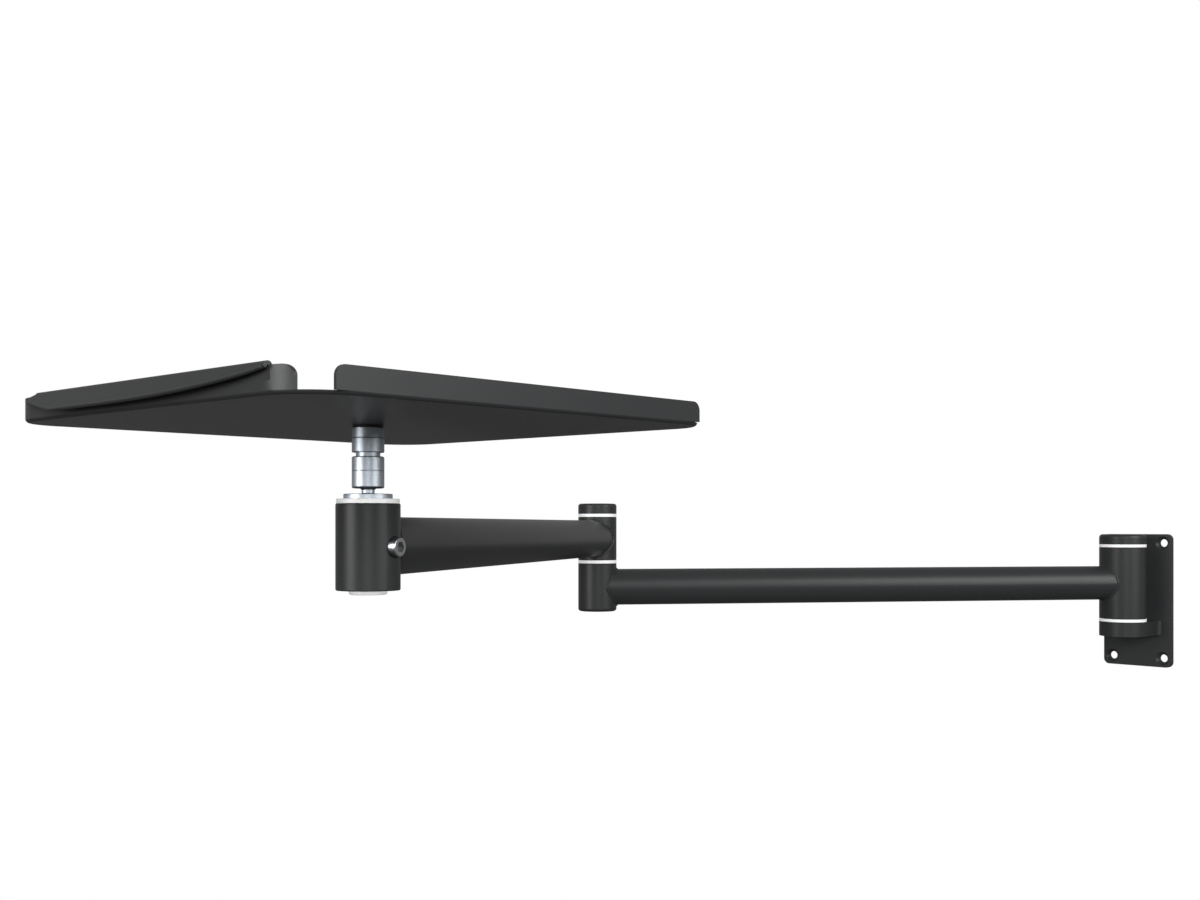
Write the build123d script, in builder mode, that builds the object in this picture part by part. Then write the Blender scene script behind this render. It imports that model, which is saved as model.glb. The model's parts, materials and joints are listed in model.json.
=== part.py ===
from build123d import *
from math import cos, radians, sin, sqrt, tan
import os

os.makedirs("parts", exist_ok=True)

# A two-arm wall mount that carries a projector on a sheet-steel tray.
# Frame: the origin is the middle of the wall plate's rear face, the wall is
# the plane Y = 0, the mount reaches out along -Y, and +Z is up.

# Fits
RUN = 0.05               # running clearance, on the radius and end to end
FACET_EDGE = 0.5         # small broken edge on turned and welded pieces

# Wall plate and its foot
PLATE_W = 63.0
PLATE_H = 120.0
PLATE_T = 5.0
PLATE_CORNER_R = 5.0
HOLE_INSET = 8.0         # screw hole to the plate's edges
HOLE_D = 7.0
HOLE_SINK_D = 12.0
AXIS_OUT = 33.0          # first pivot's distance from the wall
FOOT_T = 13.0            # thickness of the foot that carries the pivot pin
FOOT_WELD = 3.0          # leg of the weld between foot and plate
CAP_T = 9.0              # cap on top of the first pivot
CAP_ROUND = 3.0

# First pivot, at the wall
WALL_SLEEVE_D = 40.0
WALL_SLEEVE_L = 64.0
WALL_SLEEVE_WALL = 4.0
WALL_PIN_D = 25.0
BUSH_FLANGE_T = 2.5      # the white rings seen between the sleeves
BUSH_BARREL_L = 14.0

# Arms
ARM_L = 480.0            # from pivot axis to pivot axis, both arms
ARM_SWING = 33.0         # each arm's angle to the wall's normal, as photographed
TUBE_D = 30.0
TUBE_WALL = 2.0

# Second pivot, at the elbow
ELBOW_D = 32.0
ELBOW_WALL = 4.0
ELBOW_LOWER_L = 40.0
ELBOW_UPPER_L = 36.0
ELBOW_PIN_D = 17.0
ELBOW_CAP_T = 8.5
ELBOW_CAP_ROUND = 2.2
ELBOW_FOOT_ROUND = 2.4
PIN_RECESS = 1.5         # the elbow pin's foot sits this far inside its sleeve
BARREL_SHORT_L = 11.0

# Cap screws
SCREW_D = 8.0
SCREW_HEAD_D = 15.0
SCREW_HEAD_T = 4.0
SCREW_L = 20.0
HEX_AF = 5.0             # hexagon sockets, across flats
HEX_DEPTH = 2.6

# Boss at the end of the front arm
BOSS_D = 32.0
BOSS_L = 43.0
BOSS_BORE = 22.0
BOSS_FLANGE_D = 31.2
BOSS_FLANGE_T = 2.3
CLAMP_FROM_ARM = 103.0   # the clamp screw's turn from the arm, seen from above
CLAMP_HEAD_D = 9.6
CLAMP_HEAD_T = 4.4
CLAMP_SHANK_D = 6.0
CLAMP_SEAT_D = 11.0      # flat that the clamp screw's head sits on
END_CAP_BUTTON_D = 19.0
END_CAP_BUTTON_T = 2.2
END_CAP_PLUG_T = 1.2

# Spindle that turns in the boss and carries the ball
SPINDLE_D = 14.0
SPINDLE_FLANGE_D = 24.2
SPINDLE_FLANGE_T = 2.4
SPINDLE_NECK_D = 6.4
SPINDLE_NECK_ROUND = 0.6
SPINDLE_TAIL = 3.2       # shaft below the lower bush
CLIP_T = 1.0
CLIP_D = 18.0
CLIP_GROOVE_DEPTH = 0.8
BALL_D = 11.0
BALL_RISE = 6.5          # ball's centre above the spindle's flange

# Head: cup nut, socket body, coupler and collar under the tray
HEAD_D = 16.0
CUP_LIP_DROP = 3.7       # the cup's mouth below the ball's centre
CUP_L = 8.8
CUP_ROUND = 1.0
SEAT_T = 0.55            # nylon ball seat
SPIGOT_R = 7.2           # socket body's spigot inside the cup nut
SPIGOT_BOTTOM = 0.6      # spigot's lower end above the ball's centre
SEAT_BOTTOM = 2.2        # the seat's rim above the ball's centre
SEAT_TOP = 5.0           # the seat's open crown above the ball's centre
SOCKET_L = 6.9
HEAD_NECK_D = 12.0
HEAD_NECK_L = 2.1
COUPLER_L = 7.1
COLLAR_L = 5.1
COLLAR_D = 15.6
TRAY_WASHER_T = 1.2
TRAY_WASHER_D = 15.0
TRAY_SCREW_D = 6.0
TRAY_SCREW_HEAD_D = 12.0
TRAY_SCREW_L = 12.0

# Tray
TRAY_DEPTH = 244.0       # front to back
TRAY_WIDTH = 250.0       # side to side
TRAY_TURN = 4.1          # how far the tray's front is turned from +X, as photographed
SHEET = 1.6
FRONT_CORNER_R = 26.0
BACK_CORNER_R = 24.0
FRONT_FLANGE_H = 11.5
FRONT_GAP = 15.0         # front flange's end to the tray's side
FRONT_FLANGE_R = 4.5     # rounded upper corners of the front flange
WALL_H = 11.5            # side and back wall
SIDE_GAP = 12.0          # side wall's end to the tray's front
SIDE_END_R = 4.5
BEND_R = 1.8             # outside radius of the bend at the foot of the walls

# Lip folded outward and down along each side wall
RIDGE_H = 13.0           # the fold above the tray's underside
FOLD_R = 0.4             # inside radius of the fold
LIP_LEAN = 30.0          # the lip's slope from the vertical
LIP_START = 22.0         # from the tray's front to the lip's tip
LIP_TIP = 1.2            # the lip's depth at its rounded tip
LIP_FULL = 160.0         # from the tray's front to the lip's full depth
LIP_DEPTH = 9.7          # full depth, measured down the slope from the fold
LIP_BEND_AT = 45.0       # where the lip's lower edge has come most of the way down
LIP_BEND_DEPTH = 4.9
LIP_RISE_AT = 188.0      # where the lower edge turns up again
RIDGE_END = 210.0        # where the fold ends
LIP_END = 217.0          # from the tray's front to the lip's blunt end
LIP_END_HIGH = 2.0       # depth of the blunt end's upper and lower corner
LIP_END_LOW = 3.6

# Heights, worked out from the stack of pieces
cap_top = PLATE_H / 2
cap_low = cap_top - CAP_T
wall_sleeve_top = cap_low - RUN - BUSH_FLANGE_T
wall_sleeve_low = wall_sleeve_top - WALL_SLEEVE_L
foot_top = wall_sleeve_low - BUSH_FLANGE_T
foot_low = foot_top - FOOT_T
rear_tube_z = (wall_sleeve_top + wall_sleeve_low) / 2
elbow_low = rear_tube_z - ELBOW_LOWER_L / 2
elbow_mid = rear_tube_z + ELBOW_LOWER_L / 2
elbow_upper_low = elbow_mid + BUSH_FLANGE_T
elbow_upper_top = elbow_upper_low + ELBOW_UPPER_L
elbow_cap_low = elbow_upper_top + BUSH_FLANGE_T + RUN
elbow_cap_top = elbow_cap_low + ELBOW_CAP_T
front_tube_z = (elbow_upper_low + elbow_upper_top) / 2
boss_low = front_tube_z - BOSS_L / 2
boss_top = front_tube_z + BOSS_L / 2
spindle_flange_low = boss_top + BOSS_FLANGE_T
spindle_flange_top = spindle_flange_low + SPINDLE_FLANGE_T
ball_z = spindle_flange_top + BALL_RISE
cup_low = ball_z - CUP_LIP_DROP
cup_top = cup_low + CUP_L
socket_top = cup_top + SOCKET_L
coupler_low = socket_top + HEAD_NECK_L
coupler_top = coupler_low + COUPLER_L
collar_top = coupler_top + COLLAR_L
tray_z = collar_top + TRAY_WASHER_T

wall_bore_d = WALL_SLEEVE_D - 2 * WALL_SLEEVE_WALL
elbow_bore_d = ELBOW_D - 2 * ELBOW_WALL

# Places of the three upright axes
wall_axis = Vector(0, -AXIS_OUT)
rear_dir = Vector(-sin(radians(ARM_SWING)), -cos(radians(ARM_SWING)))
front_dir = Vector(sin(radians(ARM_SWING)), -cos(radians(ARM_SWING)))
elbow_axis = wall_axis + rear_dir * ARM_L
boss_axis = elbow_axis + front_dir * ARM_L


def level(axis, z, turn=0.0):
    """A level plane on an upright axis, turned about it."""
    return Plane(origin=(axis.X, axis.Y, z), x_dir=(cos(radians(turn)), sin(radians(turn)), 0), z_dir=(0, 0, 1))


def upright(axis, turn=0.0):
    """An upright plane through an axis: its Y is the world's Z, at world height."""
    return Plane(
        origin=(axis.X, axis.Y, 0),
        x_dir=(cos(radians(turn)), sin(radians(turn)), 0),
        z_dir=(sin(radians(turn)), -cos(radians(turn)), 0),
    )


def across(axis, direction, z):
    """A plane square to a level direction, for a tube that runs along it."""
    return Plane(origin=(axis.X, axis.Y, z), x_dir=(-direction.Y, direction.X, 0), z_dir=(direction.X, direction.Y, 0))


def flanged_bush(axis, flange_low, flange_d, outer_d, inner_d, barrel_l, barrel_up):
    """A nylon bush: a thin flange, and a barrel above or below it."""
    with BuildPart() as bush:
        with BuildSketch(level(axis, flange_low)):
            Circle(flange_d / 2)
        extrude(amount=BUSH_FLANGE_T)
        barrel_low = flange_low + BUSH_FLANGE_T if barrel_up else flange_low - barrel_l
        with BuildSketch(level(axis, barrel_low)):
            Circle(outer_d / 2)
        extrude(amount=barrel_l)
        with BuildSketch(level(axis, flange_low - barrel_l)):
            Circle(inner_d / 2)
        extrude(amount=2 * barrel_l + BUSH_FLANGE_T, mode=Mode.SUBTRACT)
    return bush


def sink_outline(top, shank_d, head_d, head_t):
    """Half the outline of a countersunk head, from its middle down to its shank."""
    return [(0, top), (head_d / 2, top), (head_d / 2, top - head_t / 8), (shank_d / 2, top - head_t)]


def sunk_seat(axis, top, low, shank_d, head_d, head_t):
    """The space of a countersunk screw from a face at top down to low, to cut out of what it goes through."""
    with BuildPart() as seat:
        with BuildSketch(upright(axis)):
            with BuildLine():
                Polyline(*sink_outline(top, shank_d, head_d, head_t), (shank_d / 2, low), (0, low), close=True)
            make_face()
        revolve(axis=Axis((axis.X, axis.Y, 0), (0, 0, 1)))
    return seat.part


def sunk_screw(axis, top, shank_d, head_d, head_t, length, turn=0.0):
    """A countersunk screw with a hexagon socket, its head flush with a face at top."""
    with BuildPart() as screw:
        with BuildSketch(upright(axis)):
            with BuildLine():
                Polyline(
                    *sink_outline(top, shank_d, head_d, head_t), (shank_d / 2, top - length + 1),
                    (shank_d / 2 - 1, top - length), (0, top - length), close=True,
                )
            make_face()
        revolve(axis=Axis((axis.X, axis.Y, 0), (0, 0, 1)))
        with BuildSketch(level(axis, top, turn)):
            RegularPolygon(HEX_AF / 2, 6, major_radius=False)
        extrude(amount=-HEX_DEPTH, mode=Mode.SUBTRACT)
    return screw


def cap(axis, low, thickness, diameter, round_r):
    """A round cap with a rolled upper edge and a seat for its countersunk screw."""
    with BuildPart() as lid:
        with BuildSketch(level(axis, low)):
            Circle(diameter / 2)
        extrude(amount=thickness)
        fillet(lid.edges().group_by(Axis.Z)[-1], round_r)
        chamfer(lid.edges().group_by(Axis.Z)[0], FACET_EDGE / 2)
        add(sunk_seat(axis, low + thickness, low - 1, SCREW_D, SCREW_HEAD_D, SCREW_HEAD_T), mode=Mode.SUBTRACT)
    return lid


# Wall plate, with the foot welded to it
with BuildPart() as wall_plate:
    with BuildSketch(Plane.XZ):
        RectangleRounded(PLATE_W, PLATE_H, PLATE_CORNER_R)
    extrude(amount=PLATE_T)
    with Locations(Plane((0, -PLATE_T, 0), x_dir=(1, 0, 0), z_dir=(0, -1, 0))):
        with GridLocations(PLATE_W - 2 * HOLE_INSET, PLATE_H - 2 * HOLE_INSET, 2, 2):
            CounterSinkHole(HOLE_D / 2, HOLE_SINK_D / 2)
    with BuildSketch(level(wall_axis, foot_low)):
        Circle(WALL_SLEEVE_D / 2)
        with Locations((0, (AXIS_OUT - PLATE_T) / 2)):
            Rectangle(WALL_SLEEVE_D, AXIS_OUT - PLATE_T)
    extrude(amount=FOOT_T)
    for side in (-1, 1):
        with BuildSketch(level(wall_axis, foot_low)):
            with Locations((side * WALL_SLEEVE_D / 2, AXIS_OUT - PLATE_T)):
                Circle(FOOT_WELD)
            with Locations((0, AXIS_OUT - PLATE_T + FOOT_WELD)):
                Rectangle(PLATE_W, 2 * FOOT_WELD, mode=Mode.SUBTRACT)
        extrude(amount=FOOT_T)
    with Locations((0, -AXIS_OUT, foot_top)):
        Hole(WALL_PIN_D / 2, depth=FOOT_T)
wall_plate.part.label = "wall_plate"
export_step(wall_plate.part, "parts/wall_plate.step")

# First pivot: pin, two flanged bushes, cap and cap screw
with BuildPart() as wall_pin:
    with BuildSketch(level(wall_axis, foot_low)):
        Circle(WALL_PIN_D / 2)
    extrude(amount=cap_low - foot_low)
    chamfer(wall_pin.edges().group_by(Axis.Z)[0], FACET_EDGE)
    with Locations((wall_axis.X, wall_axis.Y, cap_low)):
        Hole(SCREW_D / 2, depth=SCREW_L)
wall_pin.part.label = "wall_pin"
export_step(wall_pin.part, "parts/wall_pin.step")

for bush_name, bush_z, barrel_up in (
    ("wall_lower_bush", foot_top, True),
    ("wall_upper_bush", wall_sleeve_top, False),
):
    wall_bush = flanged_bush(
        wall_axis, bush_z, WALL_SLEEVE_D, wall_bore_d, WALL_PIN_D + 2 * RUN, BUSH_BARREL_L, barrel_up
    )
    wall_bush.part.label = bush_name
    export_step(wall_bush.part, f"parts/{bush_name}.step")

wall_cap = cap(wall_axis, cap_low, CAP_T, WALL_SLEEVE_D, CAP_ROUND)
wall_cap.part.label = "wall_cap"
export_step(wall_cap.part, "parts/wall_cap.step")

wall_cap_screw = sunk_screw(wall_axis, cap_top, SCREW_D, SCREW_HEAD_D, SCREW_HEAD_T, SCREW_L)
wall_cap_screw.part.label = "wall_cap_screw"
export_step(wall_cap_screw.part, "parts/wall_cap_screw.step")

# Rear arm: a tube welded between the wall sleeve and the elbow's lower sleeve
with BuildPart() as rear_arm:
    for axis, low, length, outer_d in (
        (wall_axis, wall_sleeve_low, WALL_SLEEVE_L, WALL_SLEEVE_D),
        (elbow_axis, elbow_low, ELBOW_LOWER_L, ELBOW_D),
    ):
        with BuildSketch(level(axis, low)):
            Circle(outer_d / 2)
        extrude(amount=length)
    sleeve_rims = rear_arm.edges().filter_by(GeomType.CIRCLE)
    elbow_rims = sleeve_rims.group_by(Axis.X)[0].sort_by(Axis.Z)
    chamfer(sleeve_rims.group_by(Axis.X)[-1] + elbow_rims[-1:], FACET_EDGE)
    fillet(rear_arm.edges().filter_by(GeomType.CIRCLE).group_by(Axis.X)[0].sort_by(Axis.Z)[0], ELBOW_FOOT_ROUND)
    with BuildSketch(across(wall_axis, rear_dir, rear_tube_z)):
        Circle(TUBE_D / 2)
        Circle(TUBE_D / 2 - TUBE_WALL, mode=Mode.SUBTRACT)
    extrude(amount=ARM_L)
    for axis, low, length, bore_d in (
        (wall_axis, wall_sleeve_low, WALL_SLEEVE_L, wall_bore_d),
        (elbow_axis, elbow_low, ELBOW_LOWER_L, elbow_bore_d),
    ):
        with BuildSketch(level(axis, low)):
            Circle(bore_d / 2)
        extrude(amount=length, mode=Mode.SUBTRACT)
rear_arm.part.label = "rear_arm"
export_step(rear_arm.part, "parts/rear_arm.step")

# Second pivot: a stepped pin pressed into the lower sleeve, bushes, cap and screw
with BuildPart() as elbow_pin:
    with BuildSketch(level(elbow_axis, elbow_low + PIN_RECESS)):
        Circle(elbow_bore_d / 2)
    extrude(amount=ELBOW_LOWER_L - PIN_RECESS)
    chamfer(elbow_pin.edges().group_by(Axis.Z)[0], FACET_EDGE)
    with BuildSketch(level(elbow_axis, elbow_mid)):
        Circle(ELBOW_PIN_D / 2)
    extrude(amount=elbow_cap_low - elbow_mid)
    with Locations((elbow_axis.X, elbow_axis.Y, elbow_cap_low)):
        Hole(SCREW_D / 2, depth=SCREW_L)
elbow_pin.part.label = "elbow_pin"
export_step(elbow_pin.part, "parts/elbow_pin.step")

for bush_name, bush_z, barrel_up in (
    ("elbow_lower_bush", elbow_mid, True),
    ("elbow_upper_bush", elbow_upper_top, False),
):
    elbow_bush = flanged_bush(
        elbow_axis, bush_z, ELBOW_D, elbow_bore_d, ELBOW_PIN_D + 2 * RUN, BARREL_SHORT_L, barrel_up
    )
    elbow_bush.part.label = bush_name
    export_step(elbow_bush.part, f"parts/{bush_name}.step")

elbow_cap = cap(elbow_axis, elbow_cap_low, ELBOW_CAP_T, ELBOW_D, ELBOW_CAP_ROUND)
elbow_cap.part.label = "elbow_cap"
export_step(elbow_cap.part, "parts/elbow_cap.step")

elbow_cap_screw = sunk_screw(elbow_axis, elbow_cap_top, SCREW_D, SCREW_HEAD_D, SCREW_HEAD_T, SCREW_L)
elbow_cap_screw.part.label = "elbow_cap_screw"
export_step(elbow_cap_screw.part, "parts/elbow_cap_screw.step")

# Front arm: a tube welded between the elbow's upper sleeve and the boss
clamp_dir = Vector(-front_dir.X, -front_dir.Y).rotate(Axis.Z, -CLAMP_FROM_ARM)
clamp_plane = across(boss_axis, clamp_dir, front_tube_z)
clamp_seat_r = sqrt((BOSS_D / 2) ** 2 - (CLAMP_SEAT_D / 2) ** 2)
with BuildPart() as front_arm:
    for axis, low, length, outer_d in (
        (elbow_axis, elbow_upper_low, ELBOW_UPPER_L, ELBOW_D),
        (boss_axis, boss_low, BOSS_L, BOSS_D),
    ):
        with BuildSketch(level(axis, low)):
            Circle(outer_d / 2)
        extrude(amount=length)
    chamfer(front_arm.edges().filter_by(GeomType.CIRCLE), FACET_EDGE)
    with BuildSketch(across(elbow_axis, front_dir, front_tube_z)):
        Circle(TUBE_D / 2)
        Circle(TUBE_D / 2 - TUBE_WALL, mode=Mode.SUBTRACT)
    extrude(amount=ARM_L)
    for axis, low, length, bore_d in (
        (elbow_axis, elbow_upper_low, ELBOW_UPPER_L, elbow_bore_d),
        (boss_axis, boss_low, BOSS_L, BOSS_BORE),
    ):
        with BuildSketch(level(axis, low)):
            Circle(bore_d / 2)
        extrude(amount=length, mode=Mode.SUBTRACT)
    with BuildSketch(clamp_plane.offset(clamp_seat_r)):
        Circle(CLAMP_SEAT_D / 2)
    extrude(amount=BOSS_D, mode=Mode.SUBTRACT)
    with BuildSketch(clamp_plane):
        Circle(CLAMP_SHANK_D / 2)
    extrude(amount=BOSS_D, mode=Mode.SUBTRACT)
front_arm.part.label = "front_arm"
export_step(front_arm.part, "parts/front_arm.step")

# Clamp screw in the side of the boss, square to the arm
with BuildPart() as clamp_screw:
    with BuildSketch(clamp_plane.offset(SPINDLE_D / 2 + RUN)):
        Circle(CLAMP_SHANK_D / 2)
    extrude(amount=clamp_seat_r - SPINDLE_D / 2 - RUN)
    with BuildSketch(clamp_plane.offset(clamp_seat_r)):
        Circle(CLAMP_HEAD_D / 2)
    extrude(amount=CLAMP_HEAD_T)
    outward = Axis((0, 0, 0), (clamp_dir.X, clamp_dir.Y, 0))
    fillet(clamp_screw.edges().filter_by(GeomType.CIRCLE).sort_by(outward)[-1], FACET_EDGE)
    with BuildSketch(clamp_plane.offset(clamp_seat_r + CLAMP_HEAD_T)):
        RegularPolygon(HEX_AF / 2, 6, major_radius=False)
    extrude(amount=-HEX_DEPTH, mode=Mode.SUBTRACT)
clamp_screw.part.label = "clamp_screw"
export_step(clamp_screw.part, "parts/clamp_screw.step")

# Bushes and end cap in the boss
clip_low = boss_low + SPINDLE_TAIL
lower_bush_low = clip_low + CLIP_T + RUN
with BuildPart() as boss_upper_bush:
    with BuildSketch(level(boss_axis, boss_top)):
        Circle(BOSS_FLANGE_D / 2)
    extrude(amount=BOSS_FLANGE_T)
    chamfer(boss_upper_bush.edges().group_by(Axis.Z)[-1], FACET_EDGE / 2)
    with BuildSketch(level(boss_axis, boss_top - BARREL_SHORT_L)):
        Circle(BOSS_BORE / 2)
    extrude(amount=BARREL_SHORT_L)
    with BuildSketch(level(boss_axis, boss_top - BARREL_SHORT_L)):
        Circle(SPINDLE_D / 2 + RUN)
    extrude(amount=BARREL_SHORT_L + BOSS_FLANGE_T, mode=Mode.SUBTRACT)
boss_upper_bush.part.label = "boss_upper_bush"
export_step(boss_upper_bush.part, "parts/boss_upper_bush.step")

with BuildPart() as boss_lower_bush:
    with BuildSketch(level(boss_axis, lower_bush_low)):
        Circle(BOSS_BORE / 2)
        Circle(SPINDLE_D / 2 + RUN, mode=Mode.SUBTRACT)
    extrude(amount=BARREL_SHORT_L)
boss_lower_bush.part.label = "boss_lower_bush"
export_step(boss_lower_bush.part, "parts/boss_lower_bush.step")

with BuildPart() as boss_end_cap:
    with BuildSketch(level(boss_axis, boss_low)):
        Circle(BOSS_BORE / 2)
    extrude(amount=END_CAP_PLUG_T)
    with BuildSketch(level(boss_axis, boss_low)):
        Circle(END_CAP_BUTTON_D / 2)
    extrude(amount=-END_CAP_BUTTON_T)
    fillet(boss_end_cap.edges().group_by(Axis.Z)[0], END_CAP_BUTTON_T / 2)
boss_end_cap.part.label = "boss_end_cap"
export_step(boss_end_cap.part, "parts/boss_end_cap.step")

# Spindle: shaft, flange, neck and ball turned in one piece
spindle_low = boss_low + END_CAP_PLUG_T + FACET_EDGE
groove_r = SPINDLE_D / 2 - CLIP_GROOVE_DEPTH
with BuildPart() as spindle:
    with BuildSketch(upright(boss_axis)):
        with BuildLine():
            Polyline(
                (0, spindle_low), (groove_r, spindle_low), (SPINDLE_D / 2, spindle_low + CLIP_GROOVE_DEPTH),
                (SPINDLE_D / 2, clip_low), (groove_r, clip_low), (groove_r, clip_low + CLIP_T),
                (SPINDLE_D / 2, clip_low + CLIP_T), (SPINDLE_D / 2, spindle_flange_low),
                (SPINDLE_FLANGE_D / 2, spindle_flange_low), (SPINDLE_FLANGE_D / 2, spindle_flange_top),
                (SPINDLE_NECK_D / 2, spindle_flange_top), (SPINDLE_NECK_D / 2, ball_z), (0, ball_z), close=True,
            )
        make_face()
    revolve(axis=Axis((boss_axis.X, boss_axis.Y, 0), (0, 0, 1)))
    turned_rims = spindle.edges().filter_by(GeomType.CIRCLE).filter_by_position(
        Axis.Z, spindle_flange_top - RUN, spindle_flange_top + RUN
    )
    fillet(turned_rims.sort_by(SortBy.RADIUS)[0], SPINDLE_NECK_ROUND)
    chamfer(turned_rims.sort_by(SortBy.RADIUS)[-1], FACET_EDGE / 2)
    with Locations((boss_axis.X, boss_axis.Y, ball_z)):
        Sphere(BALL_D / 2)
spindle.part.label = "spindle"
export_step(spindle.part, "parts/spindle.step")

with BuildPart() as spindle_clip:
    with BuildSketch(level(boss_axis, clip_low, ARM_SWING)):
        Circle(CLIP_D / 2)
        Circle(groove_r, mode=Mode.SUBTRACT)
        with Locations((CLIP_D / 2, 0)):
            Rectangle(CLIP_D, SPINDLE_D / 2, mode=Mode.SUBTRACT)
    extrude(amount=CLIP_T)
spindle_clip.part.label = "spindle_clip"
export_step(spindle_clip.part, "parts/spindle_clip.step")

# Ball seat: a nylon ring over the ball's upper half
ball_fit_r = BALL_D / 2 + RUN
seat_r = ball_fit_r + SEAT_T
ball_at = (boss_axis.X, boss_axis.Y, ball_z)
with BuildPart() as ball_seat:
    with Locations(ball_at):
        Sphere(seat_r)
        Sphere(ball_fit_r, mode=Mode.SUBTRACT)
    with BuildSketch(level(boss_axis, ball_z + SEAT_BOTTOM)):
        Circle(BALL_D)
    extrude(amount=-2 * BALL_D, mode=Mode.SUBTRACT)
    with BuildSketch(level(boss_axis, ball_z + SEAT_TOP)):
        Circle(BALL_D)
    extrude(amount=BALL_D, mode=Mode.SUBTRACT)
ball_seat.part.label = "ball_seat"
export_step(ball_seat.part, "parts/ball_seat.step")

# Cup nut, which holds the ball from below
spigot_low = ball_z + SPIGOT_BOTTOM
with BuildPart() as cup_nut:
    with BuildSketch(level(boss_axis, cup_low)):
        Circle(HEAD_D / 2)
    extrude(amount=CUP_L)
    fillet(cup_nut.edges().group_by(Axis.Z)[0], CUP_ROUND)
    chamfer(cup_nut.edges().group_by(Axis.Z)[-1], FACET_EDGE / 2)
    with Locations(ball_at):
        Sphere(ball_fit_r, mode=Mode.SUBTRACT)
    with BuildSketch(level(boss_axis, spigot_low)):
        Circle(SPIGOT_R)
    extrude(amount=CUP_L, mode=Mode.SUBTRACT)
cup_nut.part.label = "cup_nut"
export_step(cup_nut.part, "parts/cup_nut.step")

# Socket body: its spigot screws into the cup nut and holds the ball seat
with BuildPart() as socket_body:
    with BuildSketch(level(boss_axis, spigot_low)):
        Circle(SPIGOT_R)
    extrude(amount=cup_top - spigot_low)
    with BuildSketch(level(boss_axis, cup_top)):
        Circle(HEAD_D / 2)
    extrude(amount=SOCKET_L)
    chamfer(socket_body.edges().group_by(Axis.Z)[-1], FACET_EDGE)
    with BuildSketch(level(boss_axis, socket_top)):
        Circle(HEAD_NECK_D / 2)
    extrude(amount=HEAD_NECK_L)
    with Locations(ball_at):
        Sphere(seat_r + RUN, mode=Mode.SUBTRACT)
socket_body.part.label = "socket_body"
export_step(socket_body.part, "parts/socket_body.step")

# Coupler and collar between the socket body and the tray
tray_screw_low = tray_z + SHEET - TRAY_SCREW_L
with BuildPart() as coupler:
    with BuildSketch(level(boss_axis, coupler_low)):
        Circle(HEAD_D / 2)
    extrude(amount=COUPLER_L)
    chamfer(coupler.edges().filter_by(GeomType.CIRCLE), FACET_EDGE / 2)
    with Locations((boss_axis.X, boss_axis.Y, coupler_top)):
        Hole(TRAY_SCREW_D / 2, depth=coupler_top - tray_screw_low + FACET_EDGE)
coupler.part.label = "coupler"
export_step(coupler.part, "parts/coupler.step")

with BuildPart() as collar:
    with BuildSketch(level(boss_axis, coupler_top)):
        Circle(COLLAR_D / 2)
    extrude(amount=COLLAR_L)
    chamfer(collar.edges().filter_by(GeomType.CIRCLE), FACET_EDGE / 2)
    with Locations((boss_axis.X, boss_axis.Y, collar_top)):
        Hole(TRAY_SCREW_D / 2, depth=COLLAR_L)
collar.part.label = "collar"
export_step(collar.part, "parts/collar.step")

tray_floor = tray_z + SHEET
tray_head_t = SHEET + TRAY_WASHER_T
tray_screw_seat = sunk_seat(
    boss_axis, tray_floor, collar_top - tray_head_t, TRAY_SCREW_D, TRAY_SCREW_HEAD_D, tray_head_t
)
with BuildPart() as tray_washer:
    with BuildSketch(level(boss_axis, collar_top)):
        Circle(TRAY_WASHER_D / 2)
    extrude(amount=TRAY_WASHER_T)
    add(tray_screw_seat, mode=Mode.SUBTRACT)
tray_washer.part.label = "tray_washer"
export_step(tray_washer.part, "parts/tray_washer.step")

# Tray: one folded sheet. In its own frame the front faces +X and the sides +Y and -Y
tray_at = level(boss_axis, tray_z, TRAY_TURN)
front_way = tray_at.x_dir
side_way = tray_at.y_dir
tray_profile = Plane(origin=tray_at.origin, x_dir=front_way, z_dir=-side_way)
tray_front = Plane(origin=tray_at.origin + front_way * TRAY_DEPTH / 2, x_dir=side_way, z_dir=front_way)
fold_outer_r = FOLD_R + SHEET
fold_z = RIDGE_H - fold_outer_r
lip_slope = radians(LIP_LEAN)
side_corner = tray_at.origin + front_way * TRAY_DEPTH / 2 - side_way * TRAY_WIDTH / 2
lip_section = Plane(origin=side_corner - front_way * LIP_START, x_dir=-side_way, z_dir=-front_way)
lip_normal = -side_way * cos(lip_slope) + Vector(0, 0, sin(lip_slope))
lip_top = side_corner - side_way * FOLD_R + Vector(0, 0, fold_z) + lip_normal * fold_outer_r
lip_plane = Plane(origin=lip_top, x_dir=-front_way, z_dir=lip_normal)
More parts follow.
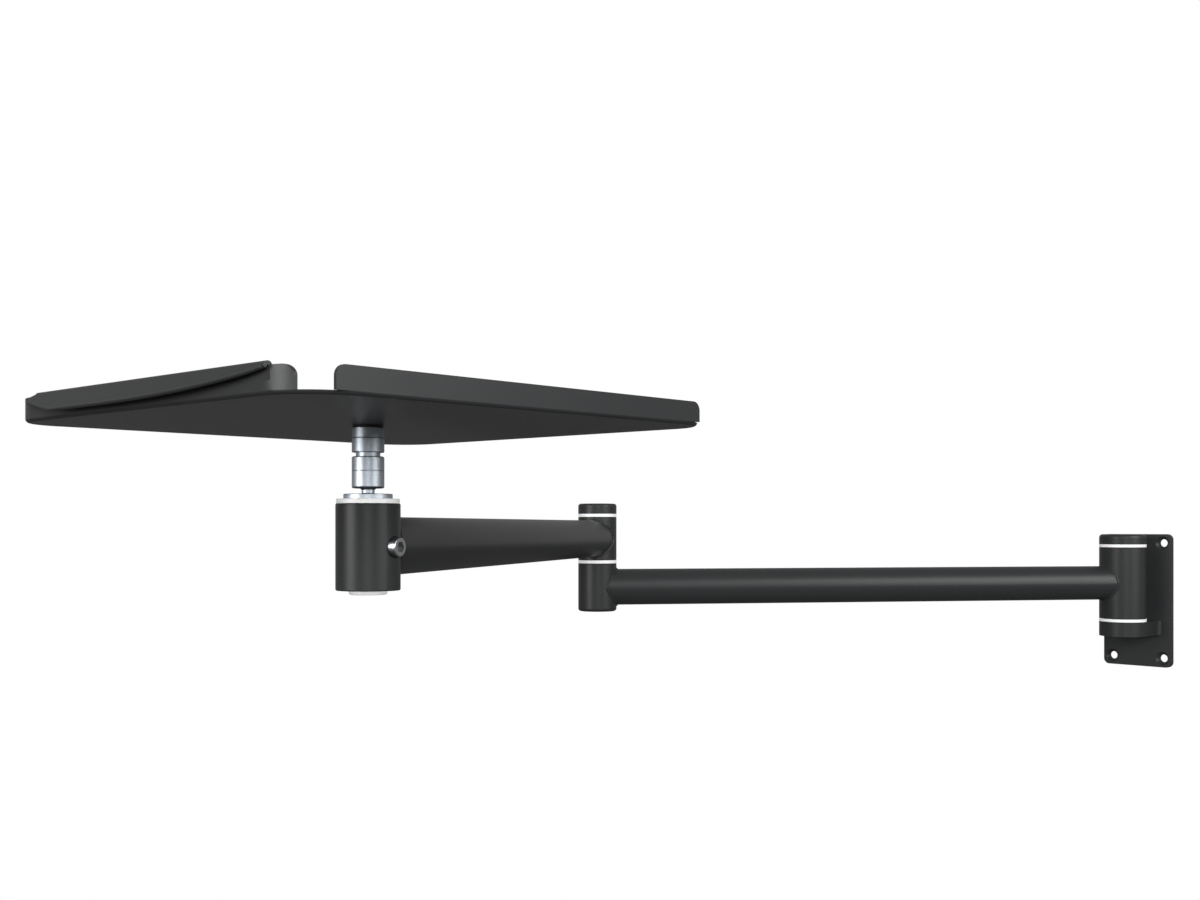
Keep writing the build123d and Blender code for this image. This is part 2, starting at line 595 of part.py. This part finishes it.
with BuildPart() as tray:
    with BuildSketch(tray_at) as tray_plan:
        Rectangle(TRAY_DEPTH, TRAY_WIDTH)
        fillet(tray_plan.vertices().group_by(Axis.X)[-1], FRONT_CORNER_R)
        fillet(tray_plan.vertices().group_by(Axis.X)[0], BACK_CORNER_R)
    extrude(amount=WALL_H)
    fillet(tray.edges().group_by(Axis.Z)[0], BEND_R)
    offset(amount=-SHEET, openings=tray.faces().sort_by(Axis.Z)[-1])
    with BuildSketch(tray_profile) as kept_profile:
        with BuildLine():
            Polyline(
                (-TRAY_DEPTH / 2, 0), (TRAY_DEPTH / 2, 0), (TRAY_DEPTH / 2, SHEET),
                (TRAY_DEPTH / 2 - SIDE_GAP, SHEET), (TRAY_DEPTH / 2 - SIDE_GAP, WALL_H),
                (-TRAY_DEPTH / 2, WALL_H), close=True,
            )
        make_face()
        wall_end = kept_profile.vertices().group_by(Axis.Y)[-1].sort_by(Axis.X)[-1]
        fillet(wall_end, SIDE_END_R)
    extrude(amount=TRAY_WIDTH, both=True, mode=Mode.INTERSECT)
    with BuildSketch(tray_front) as front_flange:
        with Locations((0, (SHEET + FRONT_FLANGE_H) / 2)):
            Rectangle(TRAY_WIDTH - 2 * FRONT_GAP, FRONT_FLANGE_H - SHEET)
        fillet(front_flange.vertices().group_by(Axis.Y)[-1], FRONT_FLANGE_R)
    extrude(amount=-SHEET)
    with BuildSketch(lip_section) as fold:
        with Locations((-SHEET / 2, (WALL_H / 2 + fold_z) / 2)):
            Rectangle(SHEET, fold_z - WALL_H / 2)
        with BuildLine():
            arc_span = 180 - LIP_LEAN
            outer_arc = CenterArc((FOLD_R, fold_z), fold_outer_r, LIP_LEAN, arc_span)
            inner_arc = CenterArc((FOLD_R, fold_z), FOLD_R, LIP_LEAN, arc_span)
            Line(outer_arc @ 0, inner_arc @ 0)
            Line(outer_arc @ 1, inner_arc @ 1)
        make_face()
    extrude(amount=RIDGE_END - LIP_START)
    with BuildSketch(lip_plane):
        with BuildLine():
            Polyline(
                (LIP_START, LIP_TIP), (LIP_START, 0), (RIDGE_END, 0), (LIP_END, LIP_END_HIGH),
                (LIP_END, LIP_END_LOW), (LIP_RISE_AT, LIP_DEPTH), (LIP_FULL, LIP_DEPTH),
            )
            Spline(
                (LIP_START, LIP_TIP), (LIP_BEND_AT, LIP_BEND_DEPTH), (LIP_FULL, LIP_DEPTH),
                tangents=((1, 0.25), (1, 0)),
            )
        make_face()
    extrude(amount=-SHEET)
    mirror(about=tray_profile)
    add(tray_screw_seat, mode=Mode.SUBTRACT)
tray.part.label = "tray"
export_step(tray.part, "parts/tray.step")

# Countersunk screw that holds the tray down on the collar, flush with the tray's floor
tray_screw = sunk_screw(boss_axis, tray_floor, TRAY_SCREW_D, TRAY_SCREW_HEAD_D, tray_head_t, TRAY_SCREW_L)
tray_screw.part.label = "tray_screw"
export_step(tray_screw.part, "parts/tray_screw.step")
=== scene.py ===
# %% [markdown]
# # A projector wall mount
# Two steel arms swing on a wall plate and carry a folded tray on a turned ball
# head. The CAD model already holds every solid at its real size, so it is
# loaded first as a fixed frame. What Blender adds is what the solids leave
# out: finishes, weld beads, the hems of the tray's two lips, the light and the
# camera.

# %% Load the frame
import json
import math

import bpy
import numpy as np
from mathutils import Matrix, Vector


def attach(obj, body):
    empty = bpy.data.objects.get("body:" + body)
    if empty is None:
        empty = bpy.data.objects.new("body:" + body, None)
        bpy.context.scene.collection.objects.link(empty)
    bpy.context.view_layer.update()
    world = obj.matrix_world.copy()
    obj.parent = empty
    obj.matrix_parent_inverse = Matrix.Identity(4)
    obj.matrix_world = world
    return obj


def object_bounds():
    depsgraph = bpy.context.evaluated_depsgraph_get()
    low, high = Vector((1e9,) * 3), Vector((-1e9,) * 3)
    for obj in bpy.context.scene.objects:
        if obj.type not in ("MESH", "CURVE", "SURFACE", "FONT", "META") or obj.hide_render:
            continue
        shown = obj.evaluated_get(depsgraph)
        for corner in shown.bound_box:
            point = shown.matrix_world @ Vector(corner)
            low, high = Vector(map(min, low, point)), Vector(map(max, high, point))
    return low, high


MM = 0.001
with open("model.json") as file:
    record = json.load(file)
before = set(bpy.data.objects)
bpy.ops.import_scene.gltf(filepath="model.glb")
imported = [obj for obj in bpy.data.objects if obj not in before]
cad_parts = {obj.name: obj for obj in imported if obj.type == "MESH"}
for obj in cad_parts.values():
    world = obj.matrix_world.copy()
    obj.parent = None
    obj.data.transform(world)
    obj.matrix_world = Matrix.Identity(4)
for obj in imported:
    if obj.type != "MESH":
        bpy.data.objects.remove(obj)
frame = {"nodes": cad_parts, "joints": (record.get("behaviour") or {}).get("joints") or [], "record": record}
nodes = frame["nodes"]
joints = {joint["name"]: joint for joint in frame["joints"]}
cad_box = [list(corner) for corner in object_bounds()]
print(len(nodes), "nodes, object box in metres:", cad_box)

# %% [markdown]
# ## Camera
# The photograph is taken from the room, a little above the height of the
# wall plate's middle, so the tray is seen from below. All upright edges stay
# upright in it. A camera that is tilted up would make them lean, so this one
# stays level and its lens is shifted instead, as on a studio camera.

# %% Camera
CAMERA_AT = (0.5731, -1.2221, 0.0672)
CAMERA_YAW = 46.586         # degrees from the wall's normal, towards -X
SENSOR_WIDTH = 36.0
FOCAL_LENGTH = 41.166
HORIZON_SHIFT = 0.0635      # of the image width
NEAR_LIMIT = 0.05
FAR_LIMIT = 50.0

camera_data = bpy.data.cameras.new("camera")
camera_data.sensor_width = SENSOR_WIDTH
camera_data.lens = FOCAL_LENGTH
camera_data.shift_y = HORIZON_SHIFT
camera_data.clip_start = NEAR_LIMIT
camera_data.clip_end = FAR_LIMIT
camera = bpy.data.objects.new("camera", camera_data)
camera.location = CAMERA_AT
camera.rotation_euler = (math.pi / 2, 0.0, math.radians(CAMERA_YAW))
bpy.context.scene.collection.objects.link(camera)
bpy.context.scene.camera = camera
print("camera", round(math.dist(CAMERA_AT, (0, 0, 0)), 3), "m from the wall plate")

# %% [markdown]
# ## Colours and nodes
# Paint and metal colours are easiest to choose as sRGB hex values, as a
# colour picker gives them. Shaders calculate in linear light, so one function
# turns the first into the second. A second one adds a shader node, sets its
# values and links its inputs, so that each finish below reads as a list. The
# others take up what all finishes share: a Principled shader, a noise in the
# piece's own coordinates, a colour between two tones and a bump.


# %% Colour and node helpers
def linear(hex_colour):
    """Linear RGBA from an sRGB hex colour: the standard's curve, channel by channel."""
    srgb = np.array([int(hex_colour[i:i + 2], 16) for i in (1, 3, 5)]) / 255
    curve = np.where(srgb <= 0.04045, srgb / 12.92, ((srgb + 0.055) / 1.055) ** 2.4)
    return (*curve.tolist(), 1.0)


def add_node(tree, kind, settings=None, inputs=None):
    """Add one node; an input is a plain value, or another node's output socket."""
    node = tree.nodes.new(kind)
    for name, value in (settings or {}).items():
        setattr(node, name, value)
    for name, value in (inputs or {}).items():
        if isinstance(value, bpy.types.NodeSocket):
            tree.links.new(value, node.inputs[name])
        else:
            node.inputs[name].default_value = value
    return node


def new_finish(name, **values):
    """A material with one Principled shader; returns material, tree and shader."""
    finish = bpy.data.materials.new(name)
    finish.use_nodes = True
    tree = finish.node_tree
    shader = tree.nodes["Principled BSDF"]
    for socket, value in values.items():
        shader.inputs[socket.replace("_", " ")].default_value = value
    return finish, tree, shader


def add_noise(tree, size, detail, roughness=0.5):
    """Noise in the piece's own coordinates, with grains of the given size."""
    place = add_node(tree, "ShaderNodeTexCoord")
    return add_node(tree, "ShaderNodeTexNoise", {}, {
        "Vector": place.outputs["Object"], "Scale": 1 / size,
        "Detail": detail, "Roughness": roughness,
    })


def add_tones(tree, shader, share, hex_dark, hex_light):
    """Colour between two tones. Inputs 6 and 7 of a Mix node are its colours, output 2 the mix."""
    tone = add_node(tree, "ShaderNodeMix", {"data_type": "RGBA"}, {"Factor": share})
    tone.inputs[6].default_value = linear(hex_dark)
    tone.inputs[7].default_value = linear(hex_light)
    tree.links.new(tone.outputs[2], shader.inputs["Base Color"])


def add_bump(tree, shader, height, strength, depth):
    """Let a height from 0 to 1 tip the surface's normal, over the given depth."""
    bump = add_node(tree, "ShaderNodeBump", {}, {
        "Height": height, "Strength": strength, "Distance": depth,
    })
    tree.links.new(bump.outputs["Normal"], shader.inputs["Normal"])


# %% [markdown]
# ## Black powder coat
# Plate, arms, caps and tray are steel under a baked powder coat. The powder
# melts into a skin with a faint orange peel, so edges stay soft and
# reflections blur. The real peel has grains of about 0.7 mm, too fine for
# this picture, so it is drawn about twice as coarse. Large, very weak clouds
# keep the wide flat faces from looking computed.

# %% Powder coat
COAT_SPECULAR = 0.15        # a satin coat mirrors less than clear lacquer, which has 0.5
COAT_ROUGHNESS = (0.35, 0.42)
PEEL_SIZE = 1.6 * MM
PEEL_DEPTH = 0.02 * MM
PEEL_STRENGTH = 0.35
CLOUD_SIZE = 45 * MM


def powder_coat():
    """Epoxy-polyester powder coat, satin black: bump from fine noise, colour from slow noise."""
    finish, tree, shader = new_finish(
        "satin_black_powder_coat", IOR=1.5, Specular_IOR_Level=COAT_SPECULAR
    )
    peel = add_noise(tree, PEEL_SIZE, detail=2.0, roughness=0.4)
    clouds = add_noise(tree, CLOUD_SIZE, detail=1.0)
    gloss = add_node(tree, "ShaderNodeMapRange", {}, {
        "Value": peel.outputs["Fac"], "To Min": COAT_ROUGHNESS[0], "To Max": COAT_ROUGHNESS[1],
    })
    tree.links.new(gloss.outputs["Result"], shader.inputs["Roughness"])
    add_tones(tree, shader, clouds.outputs["Fac"], "#333435", "#373839")
    add_bump(tree, shader, peel.outputs["Fac"], PEEL_STRENGTH, PEEL_DEPTH)
    return finish


# %% [markdown]
# ## Turned and plated steel
# The spindle and the head are turned on a lathe and nickel-plated. A lathe
# tool leaves rings round the piece, so the pattern depends on height only: a
# noise with one dimension, stretched along Z. The real pitch is about
# 0.15 mm and would be lost, so the rings are drawn 0.5 mm apart.

# %% Turned steel
RING_PITCH = 0.5 * MM
RING_DEPTH = 0.006 * MM
BRUSHED = 0.35              # how far the rings draw a reflection out
FINE_STRENGTH = 0.4         # bump strength of rings and of every fine grain


def turned_steel(name, hex_dark, hex_light, roughness):
    """Lathe-turned metal: colour and bump from noise along Z alone."""
    finish, tree, shader = new_finish(
        name, Metallic=1.0, Roughness=roughness, Anisotropic=BRUSHED
    )
    place = add_node(tree, "ShaderNodeTexCoord")
    split = add_node(tree, "ShaderNodeSeparateXYZ", {}, {"Vector": place.outputs["Object"]})
    rings = add_node(tree, "ShaderNodeTexNoise", {"noise_dimensions": "1D"}, {
        "W": split.outputs["Z"], "Scale": 1 / RING_PITCH, "Detail": 1.0,
    })
    add_tones(tree, shader, rings.outputs["Fac"], hex_dark, hex_light)
    add_bump(tree, shader, rings.outputs["Fac"], FINE_STRENGTH, RING_DEPTH)
    return finish


# %% [markdown]
# ## Nylon, screws and rubber
# The bushes are turned from white nylon. It is a little translucent, so light
# goes a short way in, and its surface keeps a dull machined sheen. A weak
# glow is painted light: it lifts the nylon to a clean white that the scene's
# dim lamps alone don't give. The screws are plain steel with fine scratches in
# every direction, the clip is blued spring steel, and the washer under the
# tray is matt rubber.

# %% Nylon, screw steel and rubber
NYLON_GRAIN = 1.2 * MM
NYLON_DEPTH = 0.01 * MM
NYLON_CLEARNESS = 0.15
NYLON_LIGHT_REACH = 1.5 * MM
# painted glow: lifts the nylon to white, though the nylon is no lamp
NYLON_PAINTED_GLOW = 0.28
SCRATCH_SIZE = 0.8 * MM
SCRATCH_DEPTH = 0.008 * MM
RUBBER_GRAIN = 0.9 * MM
RUBBER_DEPTH = 0.02 * MM


def grained(name, grain, hex_dark, hex_light, depth, **values):
    """A fine even grain: one noise drives a small change of colour and a small bump."""
    finish, tree, shader = new_finish(name, **values)
    noise = add_noise(tree, grain, detail=3.0)
    add_tones(tree, shader, noise.outputs["Fac"], hex_dark, hex_light)
    add_bump(tree, shader, noise.outputs["Fac"], FINE_STRENGTH, depth)
    return finish


nylon = grained(
    "turned_white_nylon", NYLON_GRAIN, "#f6f6f4", "#fbfbf9", NYLON_DEPTH,
    Roughness=0.45, IOR=1.53,
    Subsurface_Weight=NYLON_CLEARNESS, Subsurface_Scale=NYLON_LIGHT_REACH,
    # the emission is a painted glow, not light that the nylon scatters
    Emission_Color=linear("#ffffff"), Emission_Strength=NYLON_PAINTED_GLOW,
)
rubber = grained(
    "matt_black_rubber", RUBBER_GRAIN, "#1c1c1d", "#232324", RUBBER_DEPTH,
    Roughness=0.75, IOR=1.52,
)
screw_steel = grained(
    "plain_screw_steel", SCRATCH_SIZE, "#8f9092", "#a6a7a9", SCRATCH_DEPTH,
    Roughness=0.32, Metallic=1.0,
)
spring_steel = grained(
    "blued_spring_steel", SCRATCH_SIZE, "#3c3e42", "#4a4c51", SCRATCH_DEPTH,
    Roughness=0.38, Metallic=1.0,
)

# %% Give each node its finish
finishes = {
    "black_coat": powder_coat(),
    "turned_steel": turned_steel("nickel_plated_turned_steel", "#8a9097", "#9da2a8", 0.42),
    "screw_steel": screw_steel,
    "spring_steel": spring_steel,
    "white_nylon": nylon,
    "black_rubber": rubber,
}
for part in frame["record"]["subparts"]:
    for material_slot in nodes[part["node"]].material_slots:
        material_slot.material = finishes[part["material_slot"]]
print("finishes:", ", ".join(finishes))

# %% [markdown]
# ## Weld beads
# Each arm tube is welded to the sleeve at either end. The seam follows the
# saddle curve where the two cylinders cross, and under the powder coat it
# shows as a soft fillet. A bead is a small circle swept along that curve:
# two parameters, the angle round the tube and the angle round the bead,
# so numpy can work out the whole surface at once.

# %% Surface and bead helpers
UP = np.array([0.0, 0.0, 1.0])
BEAD_STEPS = 144            # points along a bead
ROUND_STEPS = 14            # points round a bead or a hem
RIPPLE = 0.07               # of the bead's radius


def ring_surface(name, points, endless=True):
    """A mesh from a grid of points (n, m, 3): rings of m points, strung on a loop or a line."""
    rows, columns = points.shape[:2]
    first_rows = np.arange(rows if endless else rows - 1)
    i, j = np.meshgrid(first_rows, np.arange(columns), indexing="ij")
    i_next, j_next = (i + 1) % rows, (j + 1) % columns
    corners = [
        i * columns + j, i_next * columns + j, i_next * columns + j_next, i * columns + j_next,
    ]
    faces = np.stack([corner.ravel() for corner in corners], axis=1)
    mesh = bpy.data.meshes.new(name)
    mesh.from_pydata(points.reshape(-1, 3).tolist(), [], faces.tolist())
    mesh.polygons.foreach_set("use_smooth", np.ones(len(faces), dtype=bool))
    mesh.update()
    piece = bpy.data.objects.new(name, mesh)
    bpy.context.scene.collection.objects.link(piece)
    return piece


def saddle_bead(name, centre, along, tube_r, sleeve_r, bead_r, ripples):
    """Weld bead where a level tube meets an upright sleeve.

    At angle t round the tube, a point of the tube lies tube_r * cos(t) to the side
    and tube_r * sin(t) up. It meets the sleeve where its distance along the tube
    is sqrt(sleeve_r squared - (tube_r * cos t) squared). The bead is a circle of
    radius bead_r round that point, with a slight ripple from the welder's steps.
    """
    t, u = np.meshgrid(
        np.linspace(0, 2 * np.pi, BEAD_STEPS, endpoint=False),
        np.linspace(0, 2 * np.pi, ROUND_STEPS, endpoint=False),
        indexing="ij",
    )
    ahead = np.array([*along, 0.0])
    aside = np.array([-along[1], along[0], 0.0])
    reach = np.sqrt(sleeve_r ** 2 - (tube_r * np.cos(t)) ** 2)
    out = np.cos(t)[..., None] * aside + np.sin(t)[..., None] * UP
    seam = np.array(centre) + reach[..., None] * ahead + tube_r * out
    radius = (bead_r * (1 + RIPPLE * np.sin(ripples * t)))[..., None]
    circle = np.cos(u)[..., None] * ahead + np.sin(u)[..., None] * out
    return ring_surface(name, seam + radius * circle)


def coat_and_ride(piece, body):
    """Coat a piece like the solid it is on, and move it with that solid's body."""
    piece.data.materials.append(finishes["black_coat"])
    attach(piece, body)


def level_way(start, end):
    """The level unit vector from start towards end."""
    step = (end - start)[:2]
    return step / np.linalg.norm(step)


# %% Weld the arms
TUBE_R = 15.0 * MM
BEAD_R = 1.1 * MM
ELBOW_R = 16.0 * MM
WALL_SLEEVE_R = 20.0 * MM
WELD_STEPS = 34

wall_axis = np.array(joints["wall_pivot"]["pos_m"])
elbow_axis = np.array(joints["elbow_pivot"]["pos_m"])
boss_axis = np.array(joints["tray_turn"]["pos_m"])
rear_way = level_way(wall_axis, elbow_axis)
front_way = level_way(elbow_axis, boss_axis)
rear_end = np.array([*elbow_axis[:2], wall_axis[2]])
for bead_name, bead_at, way, sleeve_r, arm in (
    ("weld_at_wall_sleeve", wall_axis, rear_way, WALL_SLEEVE_R, "rear_arm"),
    ("weld_at_lower_elbow", rear_end, -rear_way, ELBOW_R, "rear_arm"),
    ("weld_at_upper_elbow", elbow_axis, front_way, ELBOW_R, "front_arm"),
    ("weld_at_boss", boss_axis, -front_way, ELBOW_R, "front_arm"),
):
    bead = saddle_bead(bead_name, bead_at, way, TUBE_R, sleeve_r, BEAD_R, WELD_STEPS)
    coat_and_ride(bead, arm)
    print(bead_name, "at", np.round(bead_at, 3))

# %% [markdown]
# ## Hems of the tray's lips
# The sheet's free edge on each side of the tray is turned back on itself, so it
# ends in a small round roll that catches the light. The roll follows the edge as
# the solid has it: of all the tray's vertices, those that reach furthest along
# the lip's normal lie in the lip's outer face, and the lower ones trace its edge.

# %% Hems
LIP_LEAN = math.radians(30.0)   # the lip's slope from the vertical
SHEET = 1.6 * MM
FACE_BAND = 0.02 * MM           # how near its plane a vertex of the lip's face lies
FOLD_BAND = 0.5 * MM            # vertices this near the fold belong to it
HEM_R = 0.95 * MM
HEM_INSET = 0.45 * MM           # the roll's middle lies this far inside the edge
HEM_STEPS = 220
SOFTEN_OVER = 5                 # points averaged, so that the roll takes corners round
HEM_TIP = 0.02                  # the roll's ends stop this share of its radius short of a point

front = np.array(joints["tilt_side"]["axis"])
side = np.array(joints["tilt_front_back"]["axis"])
tray = nodes["tray"]
tray_points = np.empty(len(tray.data.vertices) * 3)
tray.data.vertices.foreach_get("co", tray_points)
to_world = np.array(tray.matrix_world)
tray_points = tray_points.reshape(-1, 3) @ to_world[:3, :3].T + to_world[:3, 3]


def trace_edge(back, depth):
    """The lip's free edge in its own plane: distances along it, and evenly spaced points."""
    below_fold = depth > depth.min() + FOLD_BAND
    edge = np.unique(np.round(np.stack([back, depth], axis=1)[below_fold], 6), axis=0)
    edge = edge[np.lexsort((-edge[:, 1], np.round(edge[:, 0], 5)))]
    run = np.concatenate([[0], np.cumsum(np.linalg.norm(np.diff(edge, axis=0), axis=1))])
    at = np.linspace(0, run[-1], HEM_STEPS)
    path = np.stack([np.interp(at, run, edge[:, k]) for k in (0, 1)], axis=1)
    margin = SOFTEN_OVER // 2
    padded = np.pad(path, ((margin, margin), (0, 0)), mode="edge")
    soften = np.ones(SOFTEN_OVER) / SOFTEN_OVER
    return at, np.stack([np.convolve(padded[:, k], soften, "valid") for k in (0, 1)], axis=1)


def lip_hem(name, outward):
    """The roll along the lip that leans outward: rings round the edge, rounded at both ends."""
    normal = outward * math.cos(LIP_LEAN) + UP * math.sin(LIP_LEAN)
    down_slope = outward * math.sin(LIP_LEAN) - UP * math.cos(LIP_LEAN)
    reach = tray_points @ normal
    face = tray_points[reach > reach.max() - FACE_BAND]
    at, path = trace_edge(-face @ front, face @ down_slope)
    ahead = np.gradient(path, axis=0)
    ahead /= np.linalg.norm(ahead, axis=1, keepdims=True)
    inward = np.stack([ahead[:, 1], -ahead[:, 0]], axis=1)
    lip_plane = np.stack([-front, down_slope])
    across = inward @ lip_plane
    mid_sheet = (reach.max() - SHEET / 2) * normal
    spine = (path + inward * HEM_INSET) @ lip_plane + mid_sheet
    from_end = np.clip(np.minimum(at, at[-1] - at) / HEM_R, HEM_TIP, 1)
    radius = HEM_R * np.sqrt(1 - (1 - from_end) ** 2)
    spin = np.linspace(0, 2 * np.pi, ROUND_STEPS, endpoint=False)[None, :, None]
    rings = spine[:, None, :] + radius[:, None, None] * (
        np.cos(spin) * across[:, None, :] + np.sin(spin) * normal
    )
    print(name, "runs", round(at[-1] / MM, 1), "mm")
    return ring_surface(name, rings, endless=False)


for hem_name, outward in (("hem_of_near_lip", -side), ("hem_of_far_lip", side)):
    coat_and_ride(lip_hem(hem_name, outward), "head")

# %% [markdown]
# ## Floor and light
# The product was photographed against white, with broad soft light from all
# round. Light Path sets apart what the camera sees from what the part gets.
# The floor and the world are plain white to the camera. As light and in
# reflections the world is less than half as bright, and the floor is grey
# paint with a trace of its white left in reflections, so the tray's underside
# stays dark. One large area lamp models the forms, from the room's side and
# above. Two more are seen in reflections only: they draw the long sheens on
# tubes and sleeves, one from the room and one from along the wall.

# %% Floor
FLOOR_Z = -0.9
FLOOR_HALF = 12.0
FLOOR_ROUGHNESS = 0.9
FLOOR_IN_REFLECTIONS = 0.03

floor_mesh = bpy.data.meshes.new("floor")
floor_corners = [
    (x * FLOOR_HALF, y * FLOOR_HALF, FLOOR_Z) for x, y in ((-1, -1), (1, -1), (1, 1), (-1, 1))
]
floor_mesh.from_pydata(floor_corners, [], [(0, 1, 2, 3)])
floor = bpy.data.objects.new("floor", floor_mesh)
bpy.context.scene.collection.objects.link(floor)
floor_paint, floor_tree, floor_shader = new_finish("studio_floor", Roughness=FLOOR_ROUGHNESS)
floor_shader.inputs["Base Color"].default_value = linear("#757574")
floor_seen = add_node(floor_tree, "ShaderNodeLightPath")
glow_share = add_node(floor_tree, "ShaderNodeMath", {"operation": "MULTIPLY_ADD"})
floor_tree.links.new(floor_seen.outputs["Is Glossy Ray"], glow_share.inputs[0])
glow_share.inputs[1].default_value = FLOOR_IN_REFLECTIONS
floor_tree.links.new(floor_seen.outputs["Is Camera Ray"], glow_share.inputs[2])
floor_glow = add_node(floor_tree, "ShaderNodeEmission", {}, {
    "Color": linear("#ffffff"), "Strength": 1.0,
})
floor_mix = add_node(floor_tree, "ShaderNodeMixShader", {}, {"Fac": glow_share.outputs["Value"]})
floor_tree.links.new(floor_shader.outputs["BSDF"], floor_mix.inputs[1])
floor_tree.links.new(floor_glow.outputs["Emission"], floor_mix.inputs[2])
floor_output = floor_tree.nodes["Material Output"]
floor_tree.links.new(floor_mix.outputs["Shader"], floor_output.inputs["Surface"])
floor_mesh.materials.append(floor_paint)

# %% World
AMBIENT = 0.44
SKY_IN_REFLECTIONS = 0.45

world = bpy.data.worlds.new("white_studio")
bpy.context.scene.world = world
world.use_nodes = True
sky = world.node_tree
sky_seen = add_node(sky, "ShaderNodeLightPath")
sky_clear = add_node(sky, "ShaderNodeMath", {"operation": "MAXIMUM"})
sky.links.new(sky_seen.outputs["Is Camera Ray"], sky_clear.inputs[0])
sky.links.new(sky_seen.outputs["Is Transmission Ray"], sky_clear.inputs[1])
sky_plain = add_node(sky, "ShaderNodeMapRange", {}, {
    "Value": sky_clear.outputs["Value"], "To Min": AMBIENT, "To Max": 1.0,
})
sky_strength = add_node(sky, "ShaderNodeMath", {"operation": "MULTIPLY_ADD"})
sky.links.new(sky_seen.outputs["Is Glossy Ray"], sky_strength.inputs[0])
sky_strength.inputs[1].default_value = SKY_IN_REFLECTIONS - AMBIENT
sky.links.new(sky_plain.outputs["Result"], sky_strength.inputs[2])
sky_ground = sky.nodes["Background"]
sky_ground.inputs["Color"].default_value = linear("#ffffff")
sky.links.new(sky_strength.outputs["Value"], sky_ground.inputs["Strength"])


# %% Lamps
def soft_lamp(name, at, towards, size, power):
    """A square area lamp aimed at a point; size in metres, power in watts."""
    data = bpy.data.lights.new(name, "AREA")
    data.size = size
    data.energy = power
    lamp = bpy.data.objects.new(name, data)
    lamp.location = at
    aim = np.array(towards) - np.array(at)
    lamp.rotation_euler = (
        math.atan2(math.hypot(aim[0], aim[1]), -aim[2]), 0.0, math.atan2(-aim[0], aim[1]),
    )
    bpy.context.scene.collection.objects.link(lamp)
    return lamp


middle = (np.array(cad_box[0]) + np.array(cad_box[1])) / 2
soft_lamp("key_lamp", (2.15, -2.35, 0.8), middle, size=1.2, power=54.0)
for sheen in (
    soft_lamp("room_sheen", (-0.3, -2.9, 0.5), middle, size=1.1, power=58.0),
    soft_lamp("wall_sheen", (1.9, -0.1, 0.8), middle, size=1.3, power=58.0),
):
    sheen.visible_diffuse = False

# %% Finish
scene = bpy.context.scene
scene.view_settings.view_transform = "Standard"
